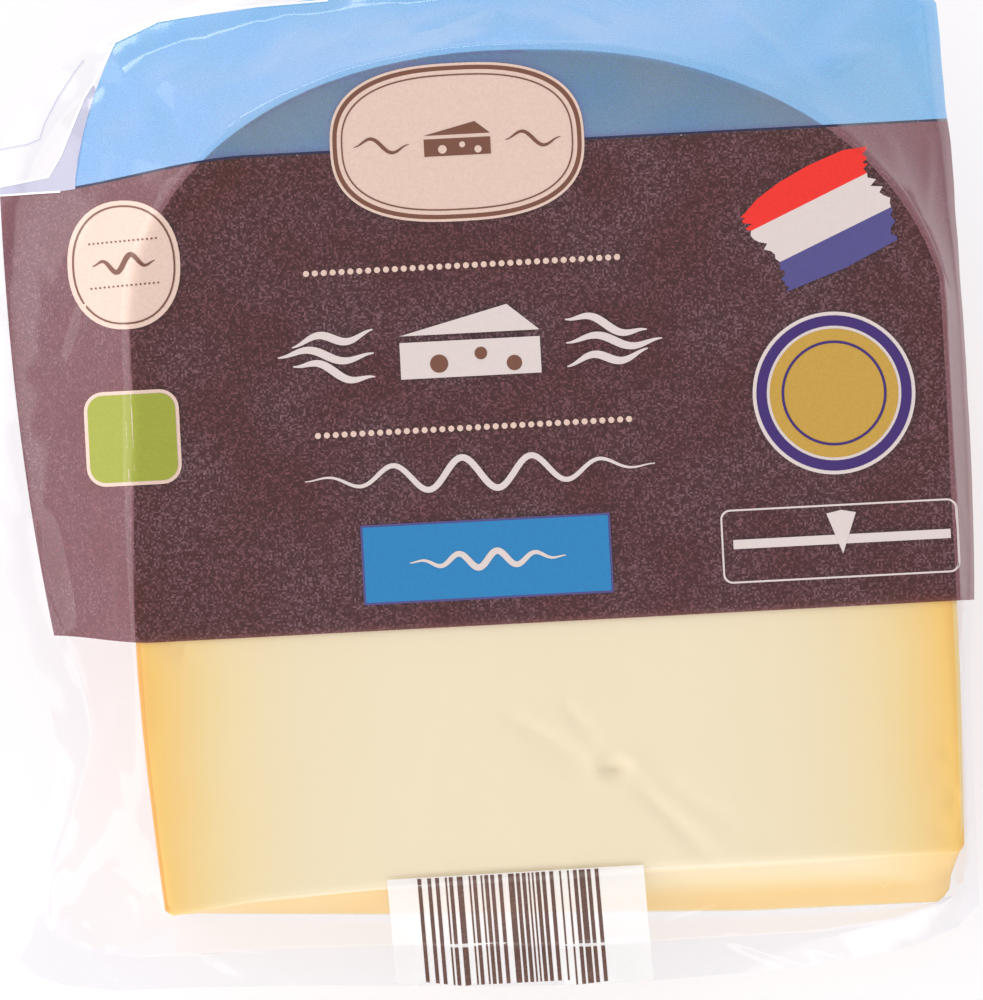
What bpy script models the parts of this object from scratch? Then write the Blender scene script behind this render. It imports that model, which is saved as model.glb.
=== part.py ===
"""A wedge of semi-hard cheese, sealed in a clear film pack, lying on its back cut face.

The pack is one closed solid: the wedge with the film drawn over it, and the fin round it
where the front and the back film are sealed. Metres, +Z up. +X runs from rind to rind and
+Y from the cut tip to the rounded rim. The origin is under the middle of the pack.

The wedge is a slice of a wheel. Plan positions are first worked out in the wheel's own
frame, whose X axis is the wheel's axis and whose XY plane is the table, and the finished
pack is then centred on its origin.
"""

from math import cos, exp, pi, radians, sin, tan

import bmesh
import bpy

MM = 0.001

# The wedge
WHEEL_RADIUS = 181.5 * MM
WHEEL_HEIGHT = 111.0 * MM  # rind to rind
WEDGE_ANGLE = radians(16)
TIP_RADIUS = 69.6 * MM  # the cut that takes off the wedge's tip
TIP_SAG = 3.0 * MM  # how much longer the face is at its lower left corner
TIP_BACK = 65.0 * MM  # the same cut on the back face, at the middle
TIP_SKEW = 0.04  # the cut is askew by this much, so that its right end leans out
RIM_DEPTH = 40 * MM  # how far down the face the rounded rim reaches
RIM_FULLNESS = 2.15  # exponent of the rim's curve, 2 being an ellipse
RIM_LEAN = 0.04  # the rim stands higher on the left by this share of the width
SIDE_BULGE = 2.2 * MM  # the left rind swells by this much at mid length
RIGHT_INSET = 0.8 * MM  # the right rind is flatter and stands in by this much
LOWER_TAPER = 0.8 * MM  # and by this much more at the tip

# The film
FILM = 0.4 * MM  # the web and the air under it, over the cheese
EDGE_ROUND = 1.2 * MM  # the film rounds off the wedge's edges by this much
SEAL = 0.8 * MM  # thickness of the sealed fin
SEAL_ANGLE = radians(9)  # the fin lies on a plane at this angle through the wheel's axis
SEAL_WIDTH = 5.5 * MM
SEAL_DROOP = 1.8 * MM  # its outer edge hangs lower by this much
SEAL_LEFT = 78 * MM  # reach of the fin from the wheel frame's origin
SEAL_RIGHT = 60 * MM
SEAL_TOP = 196.5 * MM
SEAL_TOP_LEFT = 192.5 * MM  # the top edge slants down to this on the left
SEAL_BOTTOM = 53.4 * MM
CORNER_CUT = 21.5 * MM  # the upper left corner is cut off at a slant
FOLD_WIDTH = 7 * MM  # at the right the fin is folded down by this much
FOLD_GAP = 1.3 * MM  # and stands off the film by this much
PLEAT = 0.8 * MM  # depth of the folds that the film takes over its corners

SIDES = 180  # points round the pack
MIDDLE = (-3 * MM, 124 * MM)  # the rings of points run round this place
FACE_RINGS = (0.45, 0.8)  # places of the rings on the face, as shares of its reach
TENT_RINGS = (0.14, 0.3, 0.48, 0.66, 0.84, 1.0)  # and on the film beside it
BACK_RINGS = (0.35, 0.7)  # and on the film under the fin
SIDE_STEPS = (0.0, 0.04, 0.12, 0.3, 0.5, 0.7, 0.9)  # places of points along a rind
RIM_STEPS = 24


def clear_scene():
    for old in list(bpy.data.objects):
        bpy.data.objects.remove(old, do_unlink=True)


def collection(name):
    made = bpy.data.collections.new(name)
    bpy.context.scene.collection.children.link(made)
    return made


def film_material():
    """Pale cheese under clear film: what the pack shows from a step away."""
    material = bpy.data.materials.new("cheese_under_clear_film")
    material.use_nodes = True
    shader = material.node_tree.nodes["Principled BSDF"]
    shader.inputs["Base Color"].default_value = (0.88, 0.73, 0.45, 1)
    shader.inputs["Roughness"].default_value = 0.28
    shader.inputs["Metallic"].default_value = 0
    return material


def smoothed(corners, rounds=2):
    """Cuts each corner of a closed outline, as often as rounds says."""
    for _ in range(rounds):
        cut = []
        for (x0, y0), (x1, y1) in zip(corners, corners[1:] + corners[:1]):
            cut.append((0.75 * x0 + 0.25 * x1, 0.75 * y0 + 0.25 * y1))
            cut.append((0.25 * x0 + 0.75 * x1, 0.25 * y0 + 0.75 * y1))
        corners = cut
    return corners


def rim_reach(x):
    """Distance of the face's rim from the wheel's axis, at x from the middle."""
    share = min(1, abs(x) / (WHEEL_HEIGHT / 2))
    rise = (1 - share**RIM_FULLNESS) ** (1 / RIM_FULLNESS)
    return WHEEL_RADIUS - RIM_DEPTH * (1 - rise) - RIM_LEAN * x


def face_outline():
    """The wedge's upper face seen from straight above, as a closed outline."""
    half = WHEEL_HEIGHT / 2
    right = half - RIGHT_INSET
    level = cos(WEDGE_ANGLE)
    rim_start = WHEEL_RADIUS - RIM_DEPTH
    points = []
    for along in SIDE_STEPS:
        r = TIP_RADIUS + along * (rim_start - TIP_RADIUS)
        points.append((right - LOWER_TAPER * (1 - along) ** 4, r * level))
    for step in range(RIM_STEPS + 1):
        x = (right - half) / 2 + (right + half) / 2 * cos(pi * step / RIM_STEPS)
        points.append((x, rim_reach(x) * level))
    for along in reversed(SIDE_STEPS):
        r = TIP_RADIUS - TIP_SAG + along * (rim_start - TIP_RADIUS + TIP_SAG)
        points.append((-half - SIDE_BULGE * (sin(pi * along) - 0.4), r * level))
    points.append((-half * 0.93, (TIP_RADIUS - TIP_SAG * 0.9) * level))
    points.append((-half * 0.7, (TIP_RADIUS - TIP_SAG * 0.4) * level))
    points.append((0, TIP_RADIUS * level))
    points.append((right * 0.93, TIP_RADIUS * level))
    return points


def back_outline():
    """The wedge's lower face, on the table."""
    half = WHEEL_HEIGHT / 2
    right = half - RIGHT_INSET
    points = [(right - 0.6 * MM, TIP_BACK - TIP_SKEW * half + 4 * MM)]
    for step in range(RIM_STEPS + 1):
        x = (right - half) / 2 + (right + half) / 2 * cos(pi * step / RIM_STEPS)
        points.append((x, rim_reach(x)))
    points.append((-half, TIP_BACK + TIP_SKEW * half + 2 * MM))
    points.append((-half * 0.95, TIP_BACK + TIP_SKEW * half))
    points.append((right * 0.93, TIP_BACK - TIP_SKEW * half))
    return points


def seal_outline():
    """The outer edge of the fin, which draws in at the waist of the pack."""
    waist = SEAL_BOTTOM + 0.25 * (SEAL_TOP - SEAL_BOTTOM)
    return [
        (SEAL_RIGHT - 3.6 * MM, SEAL_BOTTOM + 3 * MM),
        (SEAL_RIGHT - 3 * MM, SEAL_BOTTOM + 18 * MM),
        (SEAL_RIGHT - 2.6 * MM, waist),
        (SEAL_RIGHT - 0.6 * MM, waist + 20 * MM),
        (SEAL_RIGHT, waist + 50 * MM),
        (SEAL_RIGHT - 0.6 * MM, SEAL_TOP - 22 * MM),
        (SEAL_RIGHT - 1.8 * MM, SEAL_TOP - 1 * MM),
        (0, SEAL_TOP),
        (-SEAL_LEFT + CORNER_CUT, SEAL_TOP_LEFT),
        (-SEAL_LEFT, SEAL_TOP_LEFT - CORNER_CUT),
        (-SEAL_LEFT, waist + 50 * MM),
        (-SEAL_LEFT + 2 * MM, waist + 24 * MM),
        (-SEAL_LEFT + 9 * MM, waist + 4 * MM),
        (-SEAL_LEFT + 8.6 * MM, waist - 6 * MM),
        (-SEAL_LEFT + 3 * MM, waist - 20 * MM),
        (-SEAL_LEFT + 2 * MM, SEAL_BOTTOM + 3 * MM),
        (-0.5 * SEAL_LEFT, SEAL_BOTTOM + 2.4 * MM),
        (0.1 * SEAL_RIGHT, SEAL_BOTTOM - 0.5 * MM),
    ]


def reach(outline, angle):
    """Distance from MIDDLE to a closed outline, in the direction of angle."""
    dx, dy = cos(angle), sin(angle)
    for (x0, y0), (x1, y1) in zip(outline, outline[1:] + outline[:1]):
        ax, ay = x0 - MIDDLE[0], y0 - MIDDLE[1]
        ex, ey = x1 - x0, y1 - y0
        across = dx * ey - dy * ex
        if abs(across) < 1e-12:
            continue
        distance = (ax * ey - ay * ex) / across
        share = (ax * dy - ay * dx) / across
        if distance > 0 and -1e-9 <= share <= 1 + 1e-9:
            return distance
    raise ValueError("the outline doesn't run round MIDDLE")


def near(angle, degrees, width):
    """1 where angle points to degrees, falling to 0 beyond width degrees from it."""
    apart = (angle - radians(degrees) + pi) % (2 * pi) - pi
    return exp(-((apart / radians(width)) ** 2))


def tent_power(angle):
    """How far the film sags in beside the wedge: 1 is straight."""
    return 1.1 + 0.25 * near(angle, 90, 60)


def folded(angle):
    """How far the fin is folded down against the pack, as it is all along the right."""
    return min(1, 1.15 * near(angle, 2, 34) ** 0.5)


def pleat(angle, share):
    """Height of the film's folds, which gather over the two corners of the rim."""
    left = near(angle, 135, 20) * sin(26 * angle)
    right = near(angle, 48, 14) * sin(32 * angle)
    lower = near(angle, 216, 9) * sin(38 * angle)
    return PLEAT * (left + 0.7 * right + 0.8 * lower) * sin(pi * share)


def upper_side(angle, edge, fin, fin_height):
    """Distances and heights of the points from the middle of the face out to the fin."""
    slope = sin(angle) * tan(WEDGE_ANGLE)
    middle = MIDDLE[1] * tan(WEDGE_ANGLE) + FILM
    top = middle + edge * slope
    shoulder = edge - EDGE_ROUND
    points = [(edge * share, middle + edge * share * slope) for share in FACE_RINGS]
    points.append((shoulder, middle + shoulder * slope))
    points.append((edge - 0.3 * EDGE_ROUND, top - 0.25 * EDGE_ROUND))
    points.append((edge, top - EDGE_ROUND))
    for share in TENT_RINGS:
        drop = (top - EDGE_ROUND - fin_height) * (1 - share) ** tent_power(angle)
        points.append((edge + share * (fin - edge), fin_height + drop + pleat(angle, share)))
    return points


def column_of_points(angle, face, back, seal):
    """The pack's outline on one side of MIDDLE, cut through upright."""
    edge = reach(face, angle) + FILM
    foot = reach(back, angle) + FILM
    fold = folded(angle)
    out = max(reach(seal, angle), edge + 2.6 * MM, foot + 2.6 * MM)
    width = SEAL_WIDTH * (1 - fold) + FOLD_GAP * fold
    fin = max(out - width, edge + 1.2 * MM, foot + 1.2 * MM)
    fin_height = (MIDDLE[1] + fin * sin(angle)) * tan(SEAL_ANGLE)
    hang = SEAL_DROOP * (1 - fold) + min(FOLD_WIDTH, 0.6 * fin_height) * fold
    inward = SEAL * fold
    below = SEAL * (1 - fold)
    points = upper_side(angle, edge, fin, fin_height)
    points.append(((fin + out) / 2, fin_height - 0.4 * hang))
    points.append((out, fin_height - hang))
    points.append((out - inward, fin_height - hang - below))
    points.append(((fin + out) / 2 - inward, fin_height - 0.4 * hang - below))
    points.append((fin - inward, fin_height - SEAL))
    for share in BACK_RINGS:
        web = fin - inward + share * (foot - fin + inward)
        points.append((web, (fin_height - SEAL) * (1 - share)))
    points.append((foot, 0.5 * EDGE_ROUND))
    points.append((foot - EDGE_ROUND, 0.0))
    return points


def pack_mesh():
    """Lofts the rings into one closed body, centred on the origin."""
    face = smoothed(face_outline(), 1)
    back = smoothed(back_outline(), 1)
    seal = smoothed(seal_outline())
    grid = []
    body = bmesh.new()
    for index in range(SIDES):
        angle = 2 * pi * index / SIDES
        made = []
        for distance, z in column_of_points(angle, face, back, seal):
            x = MIDDLE[0] + distance * cos(angle)
            y = MIDDLE[1] + distance * sin(angle)
            made.append(body.verts.new((x, y, z)))
        grid.append(made)
    for here, there in zip(grid, grid[1:] + grid[:1]):
        for a, b, c, d in zip(here, here[1:], there[1:], there):
            body.faces.new((a, b, c, d))
    top = body.verts.new((*MIDDLE, MIDDLE[1] * tan(WEDGE_ANGLE) + FILM))
    bottom = body.verts.new((*MIDDLE, 0))
    for here, there in zip(grid, grid[1:] + grid[:1]):
        body.faces.new((top, here[0], there[0]))
        body.faces.new((bottom, there[-1], here[-1]))
    bmesh.ops.recalc_face_normals(body, faces=body.faces)
    xs = [vertex.co.x for vertex in body.verts]
    ys = [vertex.co.y for vertex in body.verts]
    middle = ((min(xs) + max(xs)) / 2, (min(ys) + max(ys)) / 2, 0)
    for vertex in body.verts:
        vertex.co.x -= middle[0]
        vertex.co.y -= middle[1]
    mesh = bpy.data.meshes.new("cheese_pack")
    body.to_mesh(mesh)
    body.free()
    return mesh


def build():
    clear_scene()
    parts = collection("packed_cheese_wedge")
    pack = bpy.data.objects.new("cheese_pack", pack_mesh())
    pack.data.materials.append(film_material())
    pack.data.shade_smooth()
    pack.data.set_sharp_from_angle(angle=radians(30))
    parts.objects.link(pack)


build()
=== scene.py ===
"""The looks of a wedge of semi-hard cheese in a clear, printed film pack.

Plan positions are first worked out in the frame of the wheel that the wedge was cut from:
the X axis is the wheel's axis, the XY plane is the table. WHEEL_TO_PART then brings them
to the part's own frame. The print is laid out on the wedge's upper cut face, as U to the
right and V towards the rim, in mm from the middle of the face.
"""

from math import cos, exp, hypot, pi, radians, sin, tan
from random import Random

import bmesh
import bpy
from mathutils import Matrix, Vector, noise
from mathutils.bvhtree import BVHTree


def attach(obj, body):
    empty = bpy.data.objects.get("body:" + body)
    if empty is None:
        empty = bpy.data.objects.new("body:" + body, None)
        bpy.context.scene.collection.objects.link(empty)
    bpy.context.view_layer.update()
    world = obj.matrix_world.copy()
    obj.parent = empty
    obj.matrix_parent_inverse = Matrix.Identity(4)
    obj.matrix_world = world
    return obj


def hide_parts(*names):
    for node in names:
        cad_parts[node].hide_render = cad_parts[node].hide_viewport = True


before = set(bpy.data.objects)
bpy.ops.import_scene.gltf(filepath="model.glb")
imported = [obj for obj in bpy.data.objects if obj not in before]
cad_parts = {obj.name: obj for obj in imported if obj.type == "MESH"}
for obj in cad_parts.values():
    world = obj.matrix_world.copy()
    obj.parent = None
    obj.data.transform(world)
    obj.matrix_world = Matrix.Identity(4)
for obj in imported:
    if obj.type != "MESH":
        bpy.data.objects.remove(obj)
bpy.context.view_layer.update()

MM = 0.001

# The wedge, as the CAD part has it
WHEEL_RADIUS = 181.5 * MM
WHEEL_HEIGHT = 111.0 * MM
WEDGE_ANGLE = radians(16)
TIP_RADIUS = 69.6 * MM
TIP_SAG = 3.0 * MM
TIP_BACK = 65.0 * MM
TIP_SKEW = 0.04
RIM_DEPTH = 40 * MM
RIM_FULLNESS = 2.15
RIM_LEAN = 0.04
SIDE_BULGE = 2.2 * MM
RIGHT_INSET = 0.8 * MM
LOWER_TAPER = 0.8 * MM
FILM = 0.4 * MM
SEAL_ANGLE = radians(9)
SEAL_WIDTH = 5.5 * MM
SEAL_DROOP = 1.8 * MM
SEAL_LEFT = 78 * MM
SEAL_RIGHT = 60 * MM
SEAL_TOP = 196.5 * MM
SEAL_TOP_LEFT = 192.5 * MM
SEAL_BOTTOM = 53.4 * MM
CORNER_CUT = 21.5 * MM
FOLD_WIDTH = 7 * MM
FOLD_GAP = 1.3 * MM
PLEAT = 0.8 * MM
MIDDLE = (-3 * MM, 124 * MM)
SIDE_STEPS = (0.0, 0.04, 0.12, 0.3, 0.5, 0.7, 0.9)
RIM_STEPS = 24
CAD_SIDES = 180

# The photograph's frame and view
FRAME_W, FRAME_H = 983, 1000
FACE_PX_PER_MM = 7.4
FACE_CENTRE_PX = (547, 482)  # where the middle of the cut face shows
FACE_MIDDLE_RADIUS = 122.5 * MM  # and its distance from the wheel's axis
CAMERA_DISTANCE = 620 * MM
CAMERA_ROLL = radians(3.0)
SENSOR = 36.0

# Fineness of the meshes and places of the layers
FILM_SIDES = 800
CHEESE_SIDES = 420
FILM_ROUND = 1.2 * MM  # how softly the film bends over the wedge's edge
WEB_GAP = 0.12 * MM  # between the front and the back film where they are sealed
GROUND_RISE = 0.07 * MM  # how far the opaque shapes stand off the printed film
MOTIF_RISE = 0.11 * MM
TOP_RISE = 0.15 * MM
INK_GRAIN = 0.25 * MM
CHEESE_ROUND = 0.9 * MM  # of the cheese's edges
FILM_FOOT_ROUND = 0.6 * MM  # of the film's bend under the wedge
FILM_OFF_TABLE = 0.05 * MM
BAR_MODULE = 1 / 95  # the thinnest bar, as a share of the bar code's width

# Places that were read off the photograph, in its pixels
PLAQUE_PX = (457, 142)
BADGE_PX = (124, 265)
TILE_PX = (133, 438)
SEAL_PX = (834, 393)
UPPER_DOTS_PX = ((306, 274), (617, 257))
LOWER_DOTS_PX = ((318, 436), (629, 419))
PICTURE_PX = (470, 348)
SWASH_PX = ((305, 482), (655, 463))
BOX_PX = (487, 559)
BOX_SWASH_PX = ((410, 563), (566, 555))
SCALE_PX = (840, 541)
SCALE_BAR_PX = (842, 539)
SCALE_POINTER_PX = (842, 532)
STRIPE_EDGES_PX = (  # of the three brush stripes, from above the first to below the last
    ((744, 214), (757, 199), (778, 183), (807, 166), (843, 150), (866, 147)),
    ((751, 231), (867, 173)),
    ((780, 262), (891, 207)),
    ((786, 292), (845, 268), (897, 240)),
)
WEB_EDGE_PX = (
    (0, 187), (25, 182), (49, 177), (61, 156), (73, 126), (84, 99), (93, 84), (103, 67),
    (115, 43), (158, 22), (232, 9), (328, 1),
)
DOUBLE_FILM_PX = ((0, 196), (40, 194), (76, 190), (79, 165), (85, 130), (90, 112), (96, 90))
BAND_EDGE_PX = ((0, 196), (30, 194), (61, 192))
FOLD_LINE_PX = ((0, 150), (27, 145), (40, 140), (45, 124), (59, 97), (74, 74), (84, 61))


# Shape of the wedge and of the pack

def smoothed(corners, rounds=2):
    """Cuts each corner of a closed outline, as often as rounds says."""
    for _ in range(rounds):
        cut = []
        for (x0, y0), (x1, y1) in zip(corners, corners[1:] + corners[:1]):
            cut.append((0.75 * x0 + 0.25 * x1, 0.75 * y0 + 0.25 * y1))
            cut.append((0.25 * x0 + 0.75 * x1, 0.25 * y0 + 0.75 * y1))
        corners = cut
    return corners


def rim_reach(x):
    """Distance of the face's rim from the wheel's axis, at x from the middle."""
    share = min(1, abs(x) / (WHEEL_HEIGHT / 2))
    rise = (1 - share**RIM_FULLNESS) ** (1 / RIM_FULLNESS)
    return WHEEL_RADIUS - RIM_DEPTH * (1 - rise) - RIM_LEAN * x


def face_outline():
    """The wedge's upper face seen from straight above, as a closed outline."""
    half = WHEEL_HEIGHT / 2
    right = half - RIGHT_INSET
    level = cos(WEDGE_ANGLE)
    rim_start = WHEEL_RADIUS - RIM_DEPTH
    points = []
    for along in SIDE_STEPS:
        r = TIP_RADIUS + along * (rim_start - TIP_RADIUS)
        points.append((right - LOWER_TAPER * (1 - along) ** 4, r * level))
    for step in range(RIM_STEPS + 1):
        x = (right - half) / 2 + (right + half) / 2 * cos(pi * step / RIM_STEPS)
        points.append((x, rim_reach(x) * level))
    for along in reversed(SIDE_STEPS):
        r = TIP_RADIUS - TIP_SAG + along * (rim_start - TIP_RADIUS + TIP_SAG)
        points.append((-half - SIDE_BULGE * (sin(pi * along) - 0.4), r * level))
    points.append((-half * 0.93, (TIP_RADIUS - TIP_SAG * 0.9) * level))
    points.append((-half * 0.7, (TIP_RADIUS - TIP_SAG * 0.4) * level))
    points.append((0, TIP_RADIUS * level))
    points.append((right * 0.93, TIP_RADIUS * level))
    return points


def back_outline():
    """The wedge's lower face, on the table."""
    half = WHEEL_HEIGHT / 2
    right = half - RIGHT_INSET
    points = [(right - 0.6 * MM, TIP_BACK - TIP_SKEW * half + 4 * MM)]
    for step in range(RIM_STEPS + 1):
        x = (right - half) / 2 + (right + half) / 2 * cos(pi * step / RIM_STEPS)
        points.append((x, rim_reach(x)))
    points.append((-half, TIP_BACK + TIP_SKEW * half + 2 * MM))
    points.append((-half * 0.95, TIP_BACK + TIP_SKEW * half))
    points.append((right * 0.93, TIP_BACK - TIP_SKEW * half))
    return points


def seal_outline():
    """The outer edge of the fin, which draws in at the waist of the pack."""
    waist = SEAL_BOTTOM + 0.25 * (SEAL_TOP - SEAL_BOTTOM)
    return [
        (SEAL_RIGHT - 3.6 * MM, SEAL_BOTTOM + 3 * MM),
        (SEAL_RIGHT - 3 * MM, SEAL_BOTTOM + 18 * MM),
        (SEAL_RIGHT - 2.6 * MM, waist),
        (SEAL_RIGHT - 0.6 * MM, waist + 20 * MM),
        (SEAL_RIGHT, waist + 50 * MM),
        (SEAL_RIGHT - 0.6 * MM, SEAL_TOP - 22 * MM),
        (SEAL_RIGHT - 1.8 * MM, SEAL_TOP - 1 * MM),
        (0, SEAL_TOP),
        (-SEAL_LEFT + CORNER_CUT, SEAL_TOP_LEFT),
        (-SEAL_LEFT, SEAL_TOP_LEFT - CORNER_CUT),
        (-SEAL_LEFT, waist + 50 * MM),
        (-SEAL_LEFT + 2 * MM, waist + 24 * MM),
        (-SEAL_LEFT + 9 * MM, waist + 4 * MM),
        (-SEAL_LEFT + 8.6 * MM, waist - 6 * MM),
        (-SEAL_LEFT + 3 * MM, waist - 20 * MM),
        (-SEAL_LEFT + 2 * MM, SEAL_BOTTOM + 3 * MM),
        (-0.5 * SEAL_LEFT, SEAL_BOTTOM + 2.4 * MM),
        (0.1 * SEAL_RIGHT, SEAL_BOTTOM - 0.5 * MM),
    ]


def reach(outline, angle):
    """Distance from MIDDLE to a closed outline, in the direction of angle."""
    dx, dy = cos(angle), sin(angle)
    for (x0, y0), (x1, y1) in zip(outline, outline[1:] + outline[:1]):
        ax, ay = x0 - MIDDLE[0], y0 - MIDDLE[1]
        ex, ey = x1 - x0, y1 - y0
        across = dx * ey - dy * ex
        if abs(across) < 1e-12:
            continue
        distance = (ax * ey - ay * ex) / across
        share = (ax * dy - ay * dx) / across
        if distance > 0 and -1e-9 <= share <= 1 + 1e-9:
            return distance
    raise ValueError("the outline doesn't run round MIDDLE")


def near(angle, degrees, width):
    """1 where angle points to degrees, falling to 0 beyond width degrees from it."""
    apart = (angle - radians(degrees) + pi) % (2 * pi) - pi
    return exp(-((apart / radians(width)) ** 2))


def tent_power(angle):
    """How far the film sags in beside the wedge: 1 is straight."""
    return 1.1 + 0.25 * near(angle, 90, 60)


def folded(angle):
    """How far the fin is folded down against the pack, as it is all along the right."""
    return min(1, 1.15 * near(angle, 2, 34) ** 0.5)


def pleat(angle, share):
    """Height of the film's folds, which gather over the corners."""
    left = near(angle, 135, 20) * sin(26 * angle)
    right = near(angle, 48, 14) * sin(32 * angle)
    lower = near(angle, 216, 9) * sin(38 * angle)
    return PLEAT * (left + 0.7 * right + 0.8 * lower) * sin(pi * share)


FACE = smoothed(face_outline(), 1)
BACK = smoothed(back_outline(), 1)
SEAL = smoothed(seal_outline())


def wheel_to_part():
    """The shift from the wheel's frame to the part's, whose box is centred on it."""
    xs, ys = [], []
    for index in range(CAD_SIDES):
        angle = 2 * pi * index / CAD_SIDES
        out = fin_sizes(angle)["out"]
        xs.append(MIDDLE[0] + out * cos(angle))
        ys.append(MIDDLE[1] + out * sin(angle))
    return Vector((-(min(xs) + max(xs)) / 2, -(min(ys) + max(ys)) / 2, 0))


def fin_sizes(angle):
    """Distances and heights that set the pack's outline in one direction."""
    edge = reach(FACE, angle) + FILM
    foot = reach(BACK, angle) + FILM
    fold = folded(angle)
    out = max(reach(SEAL, angle), edge + 2.6 * MM, foot + 2.6 * MM)
    width = SEAL_WIDTH * (1 - fold) + FOLD_GAP * fold
    fin = max(out - width, edge + 1.2 * MM, foot + 1.2 * MM)
    height = (MIDDLE[1] + fin * sin(angle)) * tan(SEAL_ANGLE)
    hang = SEAL_DROOP * (1 - fold) + min(FOLD_WIDTH, 0.6 * height) * fold
    return dict(edge=edge, foot=foot, fold=fold, out=out, fin=fin, height=height, hang=hang)


WHEEL_TO_PART = wheel_to_part()


def in_part(x, y, z):
    return Vector((x, y, z)) + WHEEL_TO_PART


# The view, and the way from a place on the print to the film

RIGHT_ON_FACE = Vector((1, 0, 0))
UP_ON_FACE = Vector((0, cos(WEDGE_ANGLE), sin(WEDGE_ANGLE)))
OUT_OF_FACE = Vector((0, -sin(WEDGE_ANGLE), cos(WEDGE_ANGLE)))


def on_face(u, v):
    """The place on the plane of the upper cut face, from mm right and mm up of its middle."""
    r = FACE_MIDDLE_RADIUS + v * MM
    return in_part(u * MM, r * UP_ON_FACE.y, r * UP_ON_FACE.z)


def from_pixel(px, py):
    """U and V of the place on the face that shows at a pixel of the photograph."""
    dx, dy = px - FACE_CENTRE_PX[0], py - FACE_CENTRE_PX[1]
    u = dx * cos(CAMERA_ROLL) - dy * sin(CAMERA_ROLL)
    v = -dx * sin(CAMERA_ROLL) - dy * cos(CAMERA_ROLL)
    return u / FACE_PX_PER_MM, v / FACE_PX_PER_MM


CAMERA_PLACE = on_face(*from_pixel(FRAME_W / 2, FRAME_H / 2)) + OUT_OF_FACE * CAMERA_DISTANCE


def seen_at(place):
    """U and V where a place in space shows on the plane of the face."""
    ray = place - CAMERA_PLACE
    hit = CAMERA_PLACE + ray * (CAMERA_DISTANCE / -ray.dot(OUT_OF_FACE))
    away = hit - on_face(0, 0)
    return away.dot(RIGHT_ON_FACE) / MM, away.dot(UP_ON_FACE) / MM


def make_camera():
    data = bpy.data.cameras.new("camera")
    data.sensor_fit = "HORIZONTAL"
    data.sensor_width = SENSOR
    data.lens = SENSOR * CAMERA_DISTANCE / (FRAME_W / FACE_PX_PER_MM * MM)
    data.clip_start = 0.01
    data.clip_end = 10
    camera = bpy.data.objects.new("camera", data)
    bpy.context.scene.collection.objects.link(camera)
    right = RIGHT_ON_FACE * cos(CAMERA_ROLL) - UP_ON_FACE * sin(CAMERA_ROLL)
    up = RIGHT_ON_FACE * sin(CAMERA_ROLL) + UP_ON_FACE * cos(CAMERA_ROLL)
    turn = Matrix((right, up, OUT_OF_FACE)).transposed().to_4x4()
    camera.matrix_world = Matrix.Translation(CAMERA_PLACE) @ turn
    bpy.context.scene.camera = camera


# Materials

def linear(hex_colour):
    """An sRGB hex colour as the linear colour that a shader takes."""
    parts = [int(hex_colour[i : i + 2], 16) / 255 for i in (1, 3, 5)]
    return (*(c / 12.92 if c <= 0.04045 else ((c + 0.055) / 1.055) ** 2.4 for c in parts), 1)


def node(tree, kind, inputs=None, **settings):
    """Adds a node. An input is a value, or the output of another node to link."""
    made = tree.nodes.new(kind)
    for name, value in settings.items():
        setattr(made, name, value)
    for name, value in (inputs or {}).items():
        if isinstance(value, bpy.types.NodeSocket):
            tree.links.new(value, made.inputs[name])
        else:
            made.inputs[name].default_value = value
    return made


def new_material(name):
    material = bpy.data.materials.new(name)
    material.use_nodes = True
    material.node_tree.nodes.clear()
    return material, material.node_tree


def finish_material(tree, shader):
    output = node(tree, "ShaderNodeOutputMaterial")
    tree.links.new(shader, output.inputs["Surface"])


def colour_stops(ramp, stops):
    """Sets a colour ramp's stops, each a position and an sRGB hex colour."""
    elements = ramp.color_ramp.elements
    while len(elements) > 1:
        elements.remove(elements[-1])
    elements[0].position, elements[0].color = stops[0][0], linear(stops[0][1])
    for position, colour in stops[1:]:
        elements.new(position).color = linear(colour)


RIND_REACH = 40.0  # mm from the rind to where the paste has its own pale colour
RIND_COAT = -4.0  # stands for the coated outside of the rind
PASTE_BY_DEPTH = (  # mm in from the rind, and the colour of the paste there
    (-3.0, "#E5A445"), (-0.5, "#F0B655"), (0.3, "#F6C263"), (1.8, "#FBCE70"), (4.0, "#FAD283"),
    (8.0, "#F7DA99"), (12.0, "#F7E0AB"), (16.0, "#F6E2B5"), (24.0, "#F6E5BF"), (36.0, "#F7E7C5"),
)


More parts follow.
